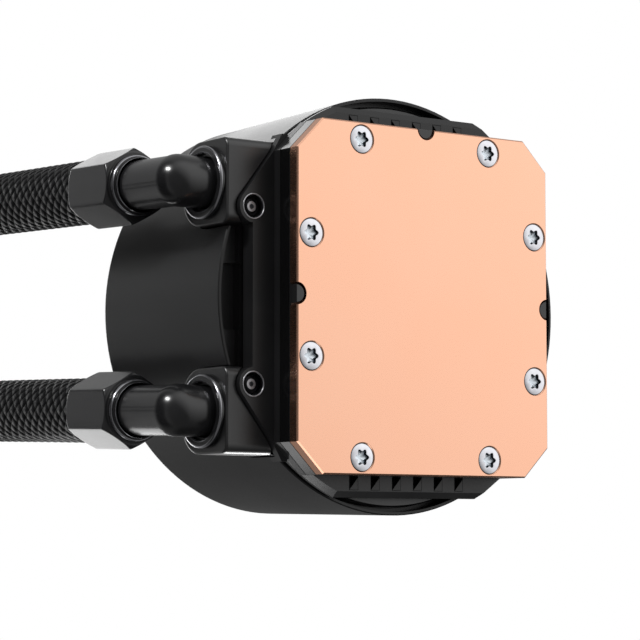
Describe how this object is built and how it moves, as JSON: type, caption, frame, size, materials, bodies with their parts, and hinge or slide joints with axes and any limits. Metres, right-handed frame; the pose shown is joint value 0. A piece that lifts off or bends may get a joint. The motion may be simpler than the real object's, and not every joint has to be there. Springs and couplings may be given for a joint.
{
  "type": "all in one cpu liquid cooler",
  "caption": "Closed-loop liquid cooler: round pump head on a screwed copper cold plate, braided hoses on swivel elbows, and a flat radiator for one fan.",
  "frame": {"origin": "centre of the cold plate's contact face", "axes": "+Z points from the processor into the pump head, the hose ports face -X, and the radiator stands on its end tank on the -X side"},
  "size_m": [0.2579, 0.12, 0.294],
  "materials": {
    "copper": "flat-machined copper, satin",
    "screw_steel": "bright plated steel",
    "dark_screw": "black oxide steel",
    "seal_rubber": "soft matt rubber",
    "moulded_black": "satin moulded plastic",
    "cap_black": "satin moulded plastic",
    "cap_gloss": "polished plastic",
    "fitting_black": "black anodised metal, satin",
    "hose_braid": "rubber hose under a woven sleeve",
    "radiator_paint": "black powder coat",
    "radiator_core": "black coated aluminium",
    "inner_plastic": "natural moulded plastic",
    "magnet": "sintered ferrite",
    "ceramic": "ground ceramic",
    "lamination": "stacked steel sheet",
    "winding": "enamelled copper wire",
    "board": "green coated laminate"
  },
  "bodies": {
    "root": {"cold_plate": "copper", "plate_screws": "screw_steel", "plate_seal": "seal_rubber", "seal_frame": "moulded_black", "jet_plate": "inner_plastic", "pump_base": "moulded_black", "ear_screws": "dark_screw", "pump_housing": "moulded_black", "rotor_shaft": "ceramic", "pump_can": "inner_plastic", "stator_core": "lamination", "stator_coils": "winding", "circuit_board": "board", "cap_shell": "cap_black", "cap_face": "cap_gloss", "radiator_port_tank": "radiator_paint", "radiator_end_tank": "radiator_paint", "radiator_tubes": "radiator_core", "radiator_fins": "radiator_core", "radiator_fill_plug": "dark_screw", "hose_upper": "hose_braid", "hose_lower": "hose_braid", "port_collar_upper": "fitting_black", "radiator_fitting_upper": "fitting_black", "radiator_ferrule_upper": "fitting_black", "radiator_side_upper": "radiator_paint", "port_collar_lower": "fitting_black", "radiator_fitting_lower": "fitting_black", "radiator_ferrule_lower": "fitting_black", "radiator_side_lower": "radiator_paint"},
    "upper_swivel": {"elbow_upper": "fitting_black", "elbow_seal_upper": "seal_rubber", "ferrule_upper": "fitting_black"},
    "lower_swivel": {"elbow_lower": "fitting_black", "elbow_seal_lower": "seal_rubber", "ferrule_lower": "fitting_black"},
    "pump_rotor": {"impeller": "inner_plastic", "rotor_bush": "inner_plastic", "rotor_magnet": "magnet"}
  },
  "joints": [
    {"name": "upper_elbow_swivel", "type": "hinge", "parent": "root", "child": "upper_swivel", "pos_m": [-0.0374, -0.02, 0.015], "axis": [1, 0, 0], "range_deg": [-10, 40], "deforming": ["hose_upper"]},
    {"name": "lower_elbow_swivel", "type": "hinge", "parent": "root", "child": "lower_swivel", "pos_m": [-0.0374, 0.02, 0.015], "axis": [-1, 0, 0], "range_deg": [-10, 40], "deforming": ["hose_lower"]},
    {"name": "impeller_spin", "type": "hinge", "parent": "root", "child": "pump_rotor", "pos_m": [0, 0, 0.015], "axis": [0, 0, 1], "continuous": true}
  ]
}
